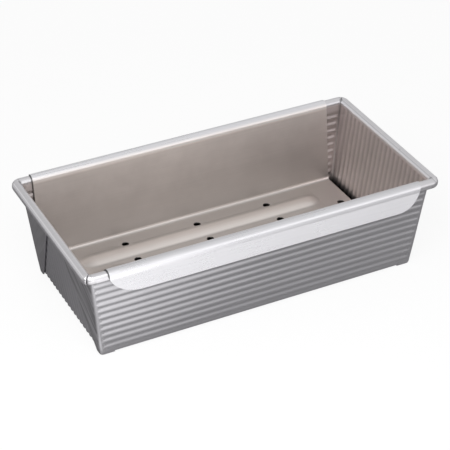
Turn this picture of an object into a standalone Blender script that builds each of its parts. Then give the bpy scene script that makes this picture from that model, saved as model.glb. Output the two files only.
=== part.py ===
"""Meatloaf pan with a lift-out perforated insert.

The pan is one ribbed sheet, folded up at the corners, with its edge rolled over a wire.
The insert is one bent sheet that hangs on the long rims by its two flared lips.
Metres, +Z up, origin at the middle of the face that the pan rests on, +X along the length.
"""

import bmesh
import bpy
from math import atan, cos, pi, radians, sin, sqrt
from mathutils import Vector

# Pan: places of the rim wire's centre line, and how far in the outside of the bottom lies
RIM_LENGTH = 0.2600
RIM_WIDTH = 0.1283
RIM_HEIGHT = 0.0707
RIM_CORNER_RADIUS = 0.0036
BEND_RADIUS = 0.0020
END_TAPER = 0.0116
SIDE_TAPER = 0.0093

# Pan: sheet, rolled edge and ribs
PAN_SHEET = 0.0007
WIRE_DIAMETER = 0.0046
WIRE_CLEARANCE = 0.0003
CURL_END_ANGLE = radians(-120)
RIB_PITCH = 0.00545
RIB_HEIGHT = 0.00085
FRONT_RIB_DEPTH = 0.0104
BACK_RIB_DEPTH = 0.0081
RIB_FOOT_MARGIN = 0.0010
RIB_END_MARGIN = 0.0005
RIB_FADE = 0.0022
END_RIB_TOP_MARGIN = 0.0005
END_RIB_FADE = 0.0030

# Pan: folded ears on the outside of the end walls
EAR_STAND = 0.0020
EAR_EMBED = 0.0001
EAR_CORNER_RADIUS = 0.0026
EAR_CORNER_BULGE = 0.0001
EAR_WRAP_RUN_OUT = 0.0020
EAR_TOP_HALF_GAP = 0.0115
EAR_BOTTOM_WIDTH = 0.0043
EAR_TOP_CLEARANCE = 0.0004
EAR_BOTTOM_HEIGHT = 0.0006
EAR_FULL_HEIGHT = 0.0030

# Insert: sheet, trough and lips
INSERT_SHEET = 0.0007
INSERT_END_CLEARANCE = 0.0019
INSERT_SHIFT = -0.0010
LIP_CLEARANCE = 0.0005
LIP_SET_IN = 0.0002
INSERT_WALL_CLEARANCE = 0.0009
FLOOR_TOP_HEIGHT = 0.0120
TROUGH_FILLET = 0.0030
FLAP_LENGTH = 0.0113
FLAP_ANGLE = radians(18)
LIP_CREASE_ANGLE = radians(-24)
LIP_CORNER_RADIUS = 0.0200

# Insert: raised ridges and drain holes in the floor
RIDGE_HALF_WIDTH = 0.0077
RIDGE_HEIGHT = 0.0020
RIDGE_END_MARGIN = 0.0215
RIDGE_END_FADE = 0.0110
HOLE_DIAMETER = 0.0048
HOLE_END_MARGIN = 0.0089

# Shares and counts that shape the meshes
RIB_PLACE_SHARES = ((-1 / 8, 1), (1 / 8, 1), (3 / 8, -1), (5 / 8, -1))
RIB_FADE_SHARES = ((0.0, 0.0), (0.45, 0.7), (1.0, 1.0))
RIDGE_SPACING_SHARE = 0.4480
HOLE_ROW_SHARE = 0.4259
HOLE_COLUMN_SHARE = 0.4893
BEND_STEPS = 3
CORNER_STEPS = 3
CURL_STEPS = 12
EAR_ARC_STEPS = 5
EAR_NOSE_SHARES = ((0.25, 0.35), (0.75, 0.35))
EAR_FOOT_SHARE = 0.35
RIDGE_STEP_SHARES = (-1.0, -0.75, -0.5, -0.25, 0.0, 0.25, 0.5, 0.75, 1.0)
RIDGE_END_SHARES = (0.0, 0.4, 0.7, 0.9, 1.0)
LIP_STEPS = 10
FLAP_STEPS = 7
FILLET_STEPS = 5
HOLE_SIDES = 16
CUT_OVERRUN = 0.0020
WELD = 0.000001
MIRROR_WELD = 0.00001

# Sizes that follow from the ones above
CURL_RADIUS = WIRE_DIAMETER / 2 + WIRE_CLEARANCE + PAN_SHEET / 2
CURL_OUTER_RADIUS = CURL_RADIUS + PAN_SHEET / 2
RIB_AMPLITUDE = RIB_HEIGHT / 2
PAN_FLOOR = RIB_AMPLITUDE + PAN_SHEET / 2


class WallLine:
    """Middle of one pan wall in its own upright plane: out is away from the pan, up is +Z."""

    def __init__(self, rim_half, bottom_half):
        foot = bottom_half - RIB_AMPLITUDE - PAN_SHEET / 2
        self.lean = atan((rim_half - CURL_RADIUS - foot) / RIM_HEIGHT)
        self.rim_half = rim_half
        self.top_out = rim_half - CURL_RADIUS * cos(self.lean)
        self.top_up = RIM_HEIGHT + CURL_RADIUS * sin(self.lean)
        bend_up = PAN_FLOOR + BEND_RADIUS
        self.floor_half = self.top_out - (
            (self.top_up - bend_up) * sin(self.lean) + BEND_RADIUS
        ) / cos(self.lean)
        self.foot_out = self.floor_half + BEND_RADIUS * cos(self.lean)
        self.foot_up = bend_up - BEND_RADIUS * sin(self.lean)
        self.length = (self.top_up - self.foot_up) / cos(self.lean)

    def bend(self, share):
        """Point, outward normal and plan corner radius at a share of the bottom bend."""
        turn = share * (pi / 2 - self.lean)
        out = self.floor_half + BEND_RADIUS * sin(turn)
        up = PAN_FLOOR + BEND_RADIUS * (1 - cos(turn))
        return out, up, sin(turn), -cos(turn), BEND_RADIUS * sin(turn)

    def wall(self, share):
        """The same at a share of the straight wall, from its foot to the rolled edge."""
        out = self.foot_out + (self.top_out - self.foot_out) * share
        up = self.foot_up + (self.top_up - self.foot_up) * share
        low = BEND_RADIUS * cos(self.lean)
        high = RIM_CORNER_RADIUS - CURL_RADIUS * cos(self.lean)
        return out, up, cos(self.lean), -sin(self.lean), low + (high - low) * share

    def curl(self, share):
        """The same at a share of the roll round the wire."""
        start = pi - self.lean
        angle = start + (CURL_END_ANGLE - start) * share
        reach = CURL_RADIUS * cos(angle)
        out = self.rim_half + reach
        up = RIM_HEIGHT + CURL_RADIUS * sin(angle)
        return out, up, cos(angle), sin(angle), RIM_CORNER_RADIUS + reach

    def at_height(self, height):
        """How far out the wall's outer face is at a height, ribs left out."""
        middle = self.wall(self.share_at(height))[0]
        return middle + PAN_SHEET / 2 / cos(self.lean)

    def share_at(self, height):
        """Share of the straight wall that a height is at."""
        return (height - self.foot_up) / (self.top_up - self.foot_up)


SIDE = WallLine(RIM_WIDTH / 2, RIM_WIDTH / 2 - SIDE_TAPER)
END = WallLine(RIM_LENGTH / 2, RIM_LENGTH / 2 - END_TAPER)
INSERT_HALF = RIM_LENGTH / 2 - END_TAPER - INSERT_END_CLEARANCE


def clear_scene():
    """Removes every object and collection that the file opened with."""
    for thing in list(bpy.data.objects):
        bpy.data.objects.remove(thing, do_unlink=True)
    for group in list(bpy.data.collections):
        bpy.data.collections.remove(group)


def new_collection(name):
    """Adds a named collection to the scene."""
    group = bpy.data.collections.new(name)
    bpy.context.scene.collection.children.link(group)
    return group


def metal(name, colour, roughness):
    """Makes a plain metal with the colour that the sheet shows."""
    material = bpy.data.materials.new(name)
    material.use_nodes = True
    shader = material.node_tree.nodes["Principled BSDF"]
    shader.inputs["Base Color"].default_value = colour
    shader.inputs["Metallic"].default_value = 1.0
    shader.inputs["Roughness"].default_value = roughness
    return material


def object_from(bm, name, group, material=None):
    """Turns a bmesh into an object, rounded faces shaded smooth."""
    mesh = bpy.data.meshes.new(name)
    bm.to_mesh(mesh)
    bm.free()
    mesh.shade_smooth()
    mesh.set_sharp_from_angle(angle=radians(35))
    if material:
        mesh.materials.append(material)
    thing = bpy.data.objects.new(name, mesh)
    group.objects.link(thing)
    return thing


def make_cutter(thing):
    """Marks an object as one that only cuts or joins another."""
    thing.hide_render = True
    thing.display_type = "WIRE"


def mirror_open_sides(thing, axes):
    """Completes a half or a quarter that is open at the planes it is mirrored in."""
    mirror = thing.modifiers.new("Mirror", "MIRROR")
    mirror.use_axis = axes
    mirror.merge_threshold = MIRROR_WELD


def fill_grid(bm, rows):
    """Fills quads between rows of vertices of equal length."""
    for low, high in zip(rows, rows[1:]):
        for index in range(len(low) - 1):
            corners = [low[index], low[index + 1], high[index + 1], high[index]]
            distinct = list(dict.fromkeys(corners))
            if len(distinct) > 2:
                bm.faces.new(distinct)


def face_downwards(bm):
    """Turns all faces one way, so that the sheet's floor, made first, faces down."""
    bmesh.ops.recalc_face_normals(bm, faces=bm.faces)
    bm.faces.ensure_lookup_table()
    if bm.faces[0].normal.z > 0:
        bmesh.ops.reverse_faces(bm, faces=bm.faces)


def stitch(bm, first, second):
    """Fills triangles between two lines of (place, vertex) that have unlike counts."""
    i, j = 0, 0
    while i < len(first) - 1 or j < len(second) - 1:
        step_first = j == len(second) - 1 or (
            i < len(first) - 1 and first[i + 1][0] <= second[j + 1][0]
        )
        if step_first:
            corners = (first[i][1], first[i + 1][1], second[j][1])
            i += 1
        else:
            corners = (first[i][1], second[j + 1][1], second[j][1])
            j += 1
        if len(set(corners)) == 3:
            bm.faces.new(corners)


class Points:
    """Makes vertices, one for each place, on the side (1 or -1) of the plane y = 0 in hand."""

    def __init__(self, bm):
        self.bm = bm
        self.side = 1
        self.known = {}

    def at(self, x, y, z):
        y *= self.side
        key = (round(x / WELD), round(y / WELD), round(z / WELD))
        if key not in self.known:
            self.known[key] = self.bm.verts.new((x, y, z))
        return self.known[key]


def floor_rib_lines():
    """Places across half the floor, from the middle out, and the rib's height there."""
    lines = [(0.0, 1.0)]
    count = int((SIDE.floor_half - RIB_PITCH / 4) / RIB_PITCH)
    for number in range(count + 1):
        for share, height in RIB_PLACE_SHARES:
            place = (number + share) * RIB_PITCH
            is_last = number == count and share > 1 / 4
            if place > 0 and not is_last:
                lines.append((place, height))
    lines.append(((count + 1 / 4) * RIB_PITCH, 0.0))
    return lines


def wall_rib_depths(first_depth):
    """How far down the wall each rib's crest lies, as many as the wall has room for."""
    room = SIDE.length - RIB_FOOT_MARGIN - RIB_PITCH / 4 - first_depth
    return [first_depth + number * RIB_PITCH for number in range(int(room / RIB_PITCH) + 1)]


def wall_rib_lines(first_depth):
    """Shares up a long wall, from foot to rim, and the rib's height there."""
    lines = []
    depths = wall_rib_depths(first_depth)
    for depth in depths:
        for share, height in RIB_PLACE_SHARES:
            if depth < depths[-1] or share < 1 / 4:
                lines.append((1 - (depth + share * RIB_PITCH) / SIDE.length, height))
    first = depths[0] - RIB_PITCH / 4
    last = depths[-1] + RIB_PITCH / 4
    lines += [(1.0, 0.0), (1 - first / SIDE.length, 0.0), (1 - last / SIDE.length, 0.0), (0.0, 0.0)]
    return sorted(lines)


def end_wall_levels():
    """Shares up the end wall and how much of its upright ribs is there."""
    top = 1 - END_RIB_TOP_MARGIN / END.length
    fade = END_RIB_FADE / END.length
    levels = [(top - share * fade, amount) for share, amount in RIB_FADE_SHARES]
    return [(0.0, 1.0)] + sorted(levels) + [(1.0, 0.0)]


def profile_levels(wall_levels):
    """Places from the floor's edge up to the rim: the bend from -1 to 0, the wall from 0 to 1."""
    bend = [(step / BEND_STEPS - 1, 1.0) for step in range(BEND_STEPS)]
    return bend + wall_levels


def on_profile(line, place):
    """Point, normal and corner radius of a wall line at a place on its profile."""
    if place < 0:
        return line.bend(place + 1)
    return line.wall(place)


def corner_point(side, end, turn):
    """Point on a rounded corner: turn 0 is on the long side, 1 on the end."""
    side_out, side_up, _, _, side_radius = side
    end_out, end_up, _, _, end_radius = end
    radius = side_radius + (end_radius - side_radius) * turn
    angle = turn * pi / 2
    return (
        end_out - end_radius + radius * sin(angle),
        side_out - side_radius + radius * cos(angle),
        side_up + (end_up - side_up) * turn,
    )


def pan_floor(points, bm):
    """Ribbed floor: lines along X, one strip to each, closed at the long edge by a stitch."""
    lines = floor_rib_lines()
    rows = [
        [points.at(x, y, PAN_FLOOR - height * RIB_AMPLITUDE) for x in (0.0, END.floor_half)]
        for y, height in lines
    ]
    fill_grid(bm, rows)
    edge = [(x, points.at(x, SIDE.floor_half, PAN_FLOOR)) for x in side_stations(SIDE.bend(0), END.bend(0))]
    stitch(bm, [(0.0, rows[-1][0]), (END.floor_half, rows[-1][1])], edge)


def side_stations(side, end):
    """Places along X on the long wall: the middle, then the ribs' fade, then the corner."""
    corner = end[0] - end[4]
    fades = [corner - RIB_END_MARGIN - share * RIB_FADE for share, _ in RIB_FADE_SHARES]
    return [0.0] + sorted(fades) + [corner]


def pan_long_wall(points, bm, first_depth):
    """Long wall with ribs along X that fade out short of the corner."""
    amounts = [1.0] + [amount for _, amount in reversed(RIB_FADE_SHARES)]
    rows = []
    for place, height in profile_levels(wall_rib_lines(first_depth)):
        side = on_profile(SIDE, place)
        out, up, normal_out, normal_up, _ = side
        height = 0.0 if place < 0 else height
        row = []
        for x, amount in zip(side_stations(side, on_profile(END, place)), amounts):
            rise = height * amount * RIB_AMPLITUDE
            row.append(points.at(x, out + rise * normal_out, up + rise * normal_up))
        rows.append((place, row))
    fill_grid(bm, [row for _, row in rows])
    return [(place, row[-1]) for place, row in rows]


def corner_levels(first_depth):
    """Shares up the corner: its ends and one between each two ribs of the long wall."""
    depths = [depth + RIB_PITCH / 2 for depth in wall_rib_depths(first_depth)[:-1]]
    return [(0.0, 0.0)] + sorted((1 - depth / SIDE.length, 0.0) for depth in depths) + [(1.0, 0.0)]


def pan_corner(points, bm, first_depth, wall_edge, end_edge):
    """Upright rounded corner, closing to a ball at the floor, between the edges of two walls."""
    rows = []
    for place, _ in profile_levels(corner_levels(first_depth)):
        side, end = on_profile(SIDE, place), on_profile(END, place)
        turns = [step / CORNER_STEPS for step in range(CORNER_STEPS + 1)]
        rows.append((place, [points.at(*corner_point(side, end, turn)) for turn in turns]))
    fill_grid(bm, [row for _, row in rows])
    stitch(bm, wall_edge, [(place, row[0]) for place, row in rows])
    stitch(bm, [(place, row[-1]) for place, row in rows], end_edge)


def pan_end_wall(points, bm):
    """End wall: the floor's ribs carry on up it and fade out under the rim."""
    rows = []
    for place, amount in profile_levels(end_wall_levels()):
        end = on_profile(END, place)
        out, up, normal_out, normal_up, _ = end
        row = []
        for y, height in floor_rib_lines():
            rise = height * amount * RIB_AMPLITUDE
            row.append(points.at(out + rise * normal_out, y, up + rise * normal_up))
        rows.append((place, row))
    fill_grid(bm, [row for _, row in rows])
    return [(place, row[-1]) for place, row in rows]


def pan_curl(points, bm):
    """Edge rolled outwards over the wire, all the way round."""
    rows = []
    for step in range(CURL_STEPS + 1):
        side, end = SIDE.curl(step / CURL_STEPS), END.curl(step / CURL_STEPS)
        turns = [turn / CORNER_STEPS for turn in range(CORNER_STEPS + 1)]
        row = [points.at(*corner_point(side, end, turn)) for turn in turns]
        middle_x = points.at(0.0, side[0], side[1])
        middle_y = points.at(end[0], 0.0, end[1])
        rows.append([middle_x] + row + [middle_y])
    fill_grid(bm, rows[1:])
    fill_grid(bm, [row[1:-1] for row in rows[:2]])
    stitch_roll_start(points, bm, rows)


def stitch_roll_start(points, bm, rows):
    """Joins the roll's first strip to the many vertices along the top of each wall."""
    side, end = SIDE.wall(1), END.wall(1)
    stations = side_stations(side, end)
    top_side = [(x, points.at(x, side[0], side[1])) for x in stations]
    roll_side = [(0.0, rows[1][0]), (stations[-1], rows[1][1])]
    stitch(bm, top_side, roll_side)
    corner_y = side[0] - side[4]
    places = [y for y, _ in floor_rib_lines()] + [corner_y]
    top_end = [(y, points.at(end[0], y, end[1])) for y in places]
    roll_end = [(0.0, rows[1][-1]), (corner_y, rows[1][-2])]
    stitch(bm, top_end, roll_end)


def ear_section(height, fullness):
    """Outline, in plan, of the folded layers lying on the end wall at a height."""
    side_face, end_face = SIDE.at_height(height), END.at_height(height)
    stand = EAR_STAND * fullness
    radius = EAR_CORNER_RADIUS
    top = RIM_HEIGHT - CURL_OUTER_RADIUS - EAR_TOP_CLEARANCE
    bottom_fold = SIDE.at_height(0) - EAR_BOTTOM_WIDTH
    fold = bottom_fold + (EAR_TOP_HALF_GAP - bottom_fold) * height / top
    outline = [(end_face - EAR_EMBED, fold)]
    outline += [(end_face + out * stand, fold - back * stand) for out, back in EAR_NOSE_SHARES]
    outline.append((end_face + stand, fold))
    centre_x = end_face + stand - radius
    centre_y = side_face + EAR_CORNER_BULGE * fullness - radius
    for step in range(EAR_ARC_STEPS + 1):
        angle = step / EAR_ARC_STEPS * pi / 2
        outline.append((centre_x + radius * cos(angle), centre_y + radius * sin(angle)))
    outline.append((centre_x - EAR_WRAP_RUN_OUT, side_face - PAN_SHEET / 2))
    bend = (SIDE.wall(SIDE.share_at(height))[4] + END.wall(END.share_at(height))[4]) / 2
    inner_x, inner_y = end_face - PAN_SHEET / 2 - bend, side_face - PAN_SHEET / 2 - bend
    outline.append((inner_x, inner_y + bend))
    outline.append((inner_x + bend * sin(pi / 4), inner_y + bend * sin(pi / 4)))
    outline.append((inner_x + bend, inner_y))
    return [(x, y, height) for x, y in outline]


def folded_ear(group):
    """The corner's spare sheet, folded flat on the end wall, as a solid to join to the pan."""
    top = RIM_HEIGHT - CURL_OUTER_RADIUS - EAR_TOP_CLEARANCE
    sections = [
        ear_section(EAR_BOTTOM_HEIGHT, EAR_FOOT_SHARE),
        ear_section(EAR_FULL_HEIGHT, 1.0),
        ear_section(top, 1.0),
    ]
    bm = bmesh.new()
    rings = [[bm.verts.new(point) for point in section] for section in sections]
    fill_grid(bm, [ring + ring[:1] for ring in rings])
    bm.faces.new(rings[0])
    bm.faces.new(rings[-1])
    bmesh.ops.recalc_face_normals(bm, faces=bm.faces)
    ear = object_from(bm, "folded_ears", group)
    mirror_open_sides(ear, (True, True, False))
    make_cutter(ear)
    return ear


def pan_shell(group, helpers, material):
    """The whole pan sheet: a half mirrored, given its thickness, the ears joined on."""
    bm = bmesh.new()
    points = Points(bm)
    for points.side, first_depth in ((1, BACK_RIB_DEPTH), (-1, FRONT_RIB_DEPTH)):
        pan_floor(points, bm)
        wall_edge = pan_long_wall(points, bm, first_depth)
        end_edge = pan_end_wall(points, bm)
        pan_corner(points, bm, first_depth, wall_edge, end_edge)
        pan_curl(points, bm)
    face_downwards(bm)
    shell = object_from(bm, "pan_shell", group, material)
    mirror_open_sides(shell, (True, False, False))
    sheet = shell.modifiers.new("Sheet", "SOLIDIFY")
    sheet.thickness = PAN_SHEET
    sheet.offset = 0.0
    sheet.use_even_offset = True
    joined = shell.modifiers.new("Ears", "BOOLEAN")
    joined.operation = "UNION"
    joined.object = folded_ear(helpers)
    return shell


def rim_wire(group, material):
    """Wire inside the rolled edge: a closed rounded rectangle."""
    half_x, half_y = RIM_LENGTH / 2 - RIM_CORNER_RADIUS, RIM_WIDTH / 2 - RIM_CORNER_RADIUS
    places = []
    for number, (sign_x, sign_y) in enumerate(((1, 1), (-1, 1), (-1, -1), (1, -1))):
        for step in range(CORNER_STEPS + 1):
            angle = (number + step / CORNER_STEPS) * pi / 2
            x = sign_x * half_x + RIM_CORNER_RADIUS * cos(angle)
            y = sign_y * half_y + RIM_CORNER_RADIUS * sin(angle)
            places.append((x, y, RIM_HEIGHT))
    curve = bpy.data.curves.new("rim_wire", "CURVE")
    curve.dimensions = "3D"
    curve.bevel_depth = WIRE_DIAMETER / 2
    curve.bevel_resolution = 2
    spline = curve.splines.new("POLY")
    spline.points.add(len(places) - 1)
    for point, place in zip(spline.points, places):
        point.co = (*place, 1.0)
    spline.use_cyclic_u = True
    curve.materials.append(material)
    wire = bpy.data.objects.new("rim_wire", curve)
    group.objects.link(wire)
    return wire


def lip_outline():
    """Middle of the insert's sheet, from the trough's foot up over the rim to the lip's edge.

    Each point is (out, up, length of sheet left to the lip's edge).
    """
    lip_radius = CURL_OUTER_RADIUS + LIP_CLEARANCE + INSERT_SHEET / 2
    floor_up = FLOOR_TOP_HEIGHT - INSERT_SHEET / 2
    pan_inside = SIDE.at_height(floor_up) - PAN_SHEET / cos(SIDE.lean) - RIB_AMPLITUDE
    foot = pan_inside - INSERT_WALL_CLEARANCE - INSERT_SHEET / 2
    lip_middle = RIM_WIDTH / 2 - LIP_SET_IN
    lean = atan((lip_middle - lip_radius - foot) / (RIM_HEIGHT - floor_up))
    fillet = TROUGH_FILLET + INSERT_SHEET / 2
    line_out = lip_middle - lip_radius * cos(lean)
    line_up = RIM_HEIGHT + lip_radius * sin(lean)
    centre_up = floor_up + fillet
    centre_out = line_out - ((line_up - centre_up) * sin(lean) + fillet) / cos(lean)
    path = []
    for step in range(FILLET_STEPS + 1):
        turn = step / FILLET_STEPS * (pi / 2 - lean)
        path.append((centre_out + fillet * sin(turn), centre_up - fillet * cos(turn)))
    start = pi - lean
    for step in range(LIP_STEPS + 1):
        angle = start + (LIP_CREASE_ANGLE - start) * step / LIP_STEPS
        out = lip_middle + lip_radius * cos(angle)
        path.append((out, RIM_HEIGHT + lip_radius * sin(angle)))
    crease_out, crease_up = path[-1]
    for step in range(1, FLAP_STEPS + 1):
        reach = FLAP_LENGTH * step / FLAP_STEPS
        path.append((crease_out + reach * sin(FLAP_ANGLE), crease_up - reach * cos(FLAP_ANGLE)))
    return with_length_left(path)


def with_length_left(path):
    """Adds to each point the length of sheet from there to the path's end."""
    left = 0.0
    measured = [(*path[-1], left)]
    for here, after in zip(reversed(path[:-1]), reversed(path[1:])):
        left += (Vector(here) - Vector(after)).length
        measured.append((*here, left))
    return list(reversed(measured))


def lip_end(left):
    """Half length of the sheet where so much is left to the lip's edge: its corners are round."""
    if left >= LIP_CORNER_RADIUS:
        return INSERT_HALF
    rise = LIP_CORNER_RADIUS - left
    return INSERT_HALF - LIP_CORNER_RADIUS + sqrt(LIP_CORNER_RADIUS**2 - rise**2)


def ridge_lines(floor_half):
    """Places across half the insert's floor and the height of the ridges there."""
    spacing = floor_half * RIDGE_SPACING_SHARE
    arc = (RIDGE_HALF_WIDTH**2 + RIDGE_HEIGHT**2) / (2 * RIDGE_HEIGHT)
    lines = [(0.0, 0.0)]
    for number in (1 / 2, 3 / 2):
        for share in RIDGE_STEP_SHARES:
            across = share * RIDGE_HALF_WIDTH
            height = sqrt(arc**2 - across**2) - (arc - RIDGE_HEIGHT)
            lines.append((number * spacing + across, height))
    lines.append((floor_half, 0.0))
    return lines


def insert_floor(points, bm, floor_half):
    """Floor with four lengthwise ridges, rounded off at their ends."""
    floor_up = FLOOR_TOP_HEIGHT - INSERT_SHEET / 2
    stations = [(0.0, 1.0)]
    for share in RIDGE_END_SHARES:
        x = INSERT_HALF - RIDGE_END_MARGIN - RIDGE_END_FADE * (1 - share)
        stations.append((x, sqrt(1 - share**2)))
    stations.append((INSERT_HALF, 0.0))
    rows = []
    for y, height in ridge_lines(floor_half):
        rows.append([points.at(x, y, floor_up + height * amount) for x, amount in stations])
    fill_grid(bm, rows)
    return [(x, points.at(x, floor_half, floor_up)) for x, _ in stations]


def hole_cutters(group, floor_half):
    """Upright cylinders for the drain holes, in five rows along the floor."""
    row = floor_half * HOLE_ROW_SHARE
    end = INSERT_HALF - HOLE_END_MARGIN
    places = []
    for number in (-2, -1, 0, 1, 2):
        places += [(column * INSERT_HALF * HOLE_COLUMN_SHARE, number * row) for column in (-1, 0, 1)]
    places += [(x, y) for x in (-end, end) for y in (-row, row)]
    depth = INSERT_SHEET + 2 * CUT_OVERRUN
    bm = bmesh.new()
    for x, y in places:
        made = bmesh.ops.create_cone(
            bm, cap_ends=True, segments=HOLE_SIDES,
            radius1=HOLE_DIAMETER / 2, radius2=HOLE_DIAMETER / 2, depth=depth,
        )
        middle = Vector((x, y, FLOOR_TOP_HEIGHT - INSERT_SHEET / 2))
        bmesh.ops.translate(bm, verts=made["verts"], vec=middle)
    cutter = object_from(bm, "drain_hole_cutters", group)
    make_cutter(cutter)
    return cutter


def insert_tray(group, helpers, material):
    """The bent insert: trough, ridged floor, drain holes, and lips hooked over the long rims."""
    outline = lip_outline()
    floor_half = outline[0][0]
    bm = bmesh.new()
    points = Points(bm)
    edge = insert_floor(points, bm, floor_half)
    rows = [
        [points.at(x, out, up) for x in (0.0, lip_end(left))] for out, up, left in outline
    ]
    fill_grid(bm, rows[1:])
    stitch(bm, edge, [(0.0, rows[1][0]), (INSERT_HALF, rows[1][1])])
    face_downwards(bm)
    tray = object_from(bm, "insert_tray", group, material)
    tray.location.x = INSERT_SHIFT
    mirror_open_sides(tray, (True, True, False))
    sheet = tray.modifiers.new("Sheet", "SOLIDIFY")
    sheet.thickness = INSERT_SHEET
    sheet.offset = 0.0
    sheet.use_even_offset = True
    cutter = hole_cutters(helpers, floor_half)
    cutter.location.x = INSERT_SHIFT
    holes = tray.modifiers.new("Drain holes", "BOOLEAN")
    holes.operation = "DIFFERENCE"
    holes.object = cutter
    return tray


def build():
    """Builds the pan, its rim wire and the insert."""
    clear_scene()
    group = new_collection("meatloaf_pan_with_insert")
    helpers = new_collection("cutters")
    pan_metal = metal("pan_steel", (0.50, 0.49, 0.50, 1.0), 0.38)
    wire_metal = metal("wire_steel", (0.42, 0.42, 0.43, 1.0), 0.35)
    insert_metal = metal("insert_steel", (0.56, 0.54, 0.52, 1.0), 0.32)
    pan_shell(group, helpers, pan_metal)
    rim_wire(group, wire_metal)
    insert_tray(group, helpers, insert_metal)


build()
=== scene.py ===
"""Looks for the meatloaf pan with its lift-out insert: finer sheets, folded corners, metals, light."""

from math import asin, atan, cos, pi, radians, sin, sqrt, tan

import bmesh
import bpy
from mathutils import Matrix, Vector


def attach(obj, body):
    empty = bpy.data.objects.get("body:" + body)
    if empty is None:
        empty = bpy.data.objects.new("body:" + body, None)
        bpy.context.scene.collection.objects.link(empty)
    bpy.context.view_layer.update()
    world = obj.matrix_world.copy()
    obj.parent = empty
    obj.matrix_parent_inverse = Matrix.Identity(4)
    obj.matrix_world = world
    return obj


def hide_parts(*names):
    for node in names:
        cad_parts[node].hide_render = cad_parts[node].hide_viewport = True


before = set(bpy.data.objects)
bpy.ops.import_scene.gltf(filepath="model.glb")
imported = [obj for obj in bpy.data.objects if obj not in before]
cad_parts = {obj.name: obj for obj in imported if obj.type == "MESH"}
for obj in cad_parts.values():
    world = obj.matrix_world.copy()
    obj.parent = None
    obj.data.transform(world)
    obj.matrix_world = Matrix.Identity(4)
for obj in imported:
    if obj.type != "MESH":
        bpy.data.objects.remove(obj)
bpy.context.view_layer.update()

# Driving sizes in metres: as in the solids, but with shallower ribs and a squarer roll
RIM_LENGTH = 0.2600
RIM_WIDTH = 0.1283
RIM_HEIGHT = 0.0707
RIM_CORNER_RADIUS = 0.0036
BEND_RADIUS = 0.0020
END_TAPER = 0.0116
SIDE_TAPER = 0.0093
SHEET = 0.0007
WIRE_DIAMETER = 0.0046
WIRE_CLEARANCE = 0.0003
CURL_END_ANGLE = radians(-120)
CURL_SQUARENESS = 2.9
RIB_PITCH = 0.00545
RIB_AMPLITUDE = 0.00031
FRONT_RIB_DEPTH = 0.0104
BACK_RIB_DEPTH = 0.0081
RIB_COUNT = 11
RIB_END_MARGIN = 0.0003
RIB_FADE = 0.0020
END_RIB_TOP_MARGIN = 0.0005
END_RIB_FADE = 0.0030

# Lines pressed into the rolled ends: angle round the wire, depth
END_GROOVES = ((radians(42), 0.00009), (radians(72), 0.00004), (radians(122), 0.00008))
GROOVE_HALF_ANGLE = radians(14)

# Folded ears
EAR_STAND = 0.0020
EAR_GAP = 0.00046
EAR_GAP_DEPTH = 0.0030
EAR_EMBED = 0.0002
EAR_CORNER_RADIUS = 0.0024
EAR_SKIN_START = 0.00005
EAR_SKIN_END = 0.00010
EAR_SKIN_REACH = 0.0080
EAR_TOP_HALF_GAP = 0.0115
EAR_BOTTOM_WIDTH = 0.0043
EAR_TOP_CLEARANCE = 0.0004
EAR_BOTTOM_HEIGHT = 0.0006
EAR_FULL_HEIGHT = 0.0016
EAR_FOOT_SHARE = 0.80
EAR_CORNER_PULL = 0.0014

# Insert
INSERT_LENGTH = 0.2330
INSERT_LEFT_EXTRA = 0.0006
INSERT_SHIFT = -0.0010
INSERT_SHEAR = -0.0172
LIP_CLEARANCE = 0.00005
LIP_SET_IN = -0.0001
FLOOR_TOP_HEIGHT = 0.0120
TROUGH_FILLET = 0.0027
INSERT_WALL_CLEARANCE = 0.0003
LIP_ROLL_END_ANGLE = radians(11)
LIP_STRAIGHT = 0.0022
LIP_CREASE_RADIUS = 0.0030
FLAP_LENGTH = 0.0108
FLAP_ANGLE = radians(17.4)
LIP_CORNER = (0.0200, 0.0200)
LIP_LEFT_CORNER = (0.0220, 0.0150)
RIDGE_HALF_WIDTH = 0.0077
RIDGE_HEIGHT = 0.0020
RIDGE_CENTRES = (0.0111, 0.0334)
RIDGE_HALF_LENGTH = 0.0960
RIDGE_END_LENGTH = 0.0120
HOLE_DIAMETER = 0.0048
HOLE_CHAMFER = 0.0003
HOLE_COLUMN = 0.0570
HOLE_ROW = 0.02115
HOLE_END_COLUMN = 0.1080
HOLE_OVERRUN = 4 * SHEET

# Slits that mitre two corners of the rolled edge: width, and the most of a radius half one takes
SLIT_WIDTH = 0.00050
SLIT_MOST = 0.8

# Mesh fineness
RIB_STEPS = 12
FADE_STEPS = 8
BEND_STEPS = 8
CORNER_STEPS = 8
CURL_STEPS = 96
END_WALL_STEPS = 12
EAR_LEVEL_STEP = RIB_PITCH / RIB_STEPS
EAR_ARC_STEPS = 12
EAR_SKIN_STEP = 0.0003
EAR_SKIN_COUNT = 11
LIP_STEPS = 32
CREASE_STEPS = 4
FILLET_STEPS = 12
FLAP_STEPS = 28
RIDGE_STEPS = 20
RIDGE_END_STEPS = 10
HOLE_SIDES = 40
SHARP_ANGLE = radians(40)
WELD = 0.000001

# Camera, fitted to the photograph
VIEW_AZIMUTH = radians(-26.673)
VIEW_ELEVATION = radians(33.676)
VIEW_ROLL = radians(-0.05)
VIEW_DISTANCE = 1.14131
VIEW_RIGHT = -0.00028
VIEW_UP = -0.02889
VIEW_LENS = 132.30
SENSOR_WIDTH = 36.0

# Across the insert: where its warm trough gives way to the clean lips, which are also painted lighter
# as a highlight
LIP_BRIGHT_FROM = 0.0600
LIP_BRIGHT_TO = 0.0618

# Up and out to the pan's rolled edge from its walls: cleaner there, and painted lighter as a highlight
RIM_BRIGHT_FROM = 0.0695
RIM_BRIGHT_TO = 0.0715
RIM_BRIGHT_REACH = 0.0012
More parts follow.
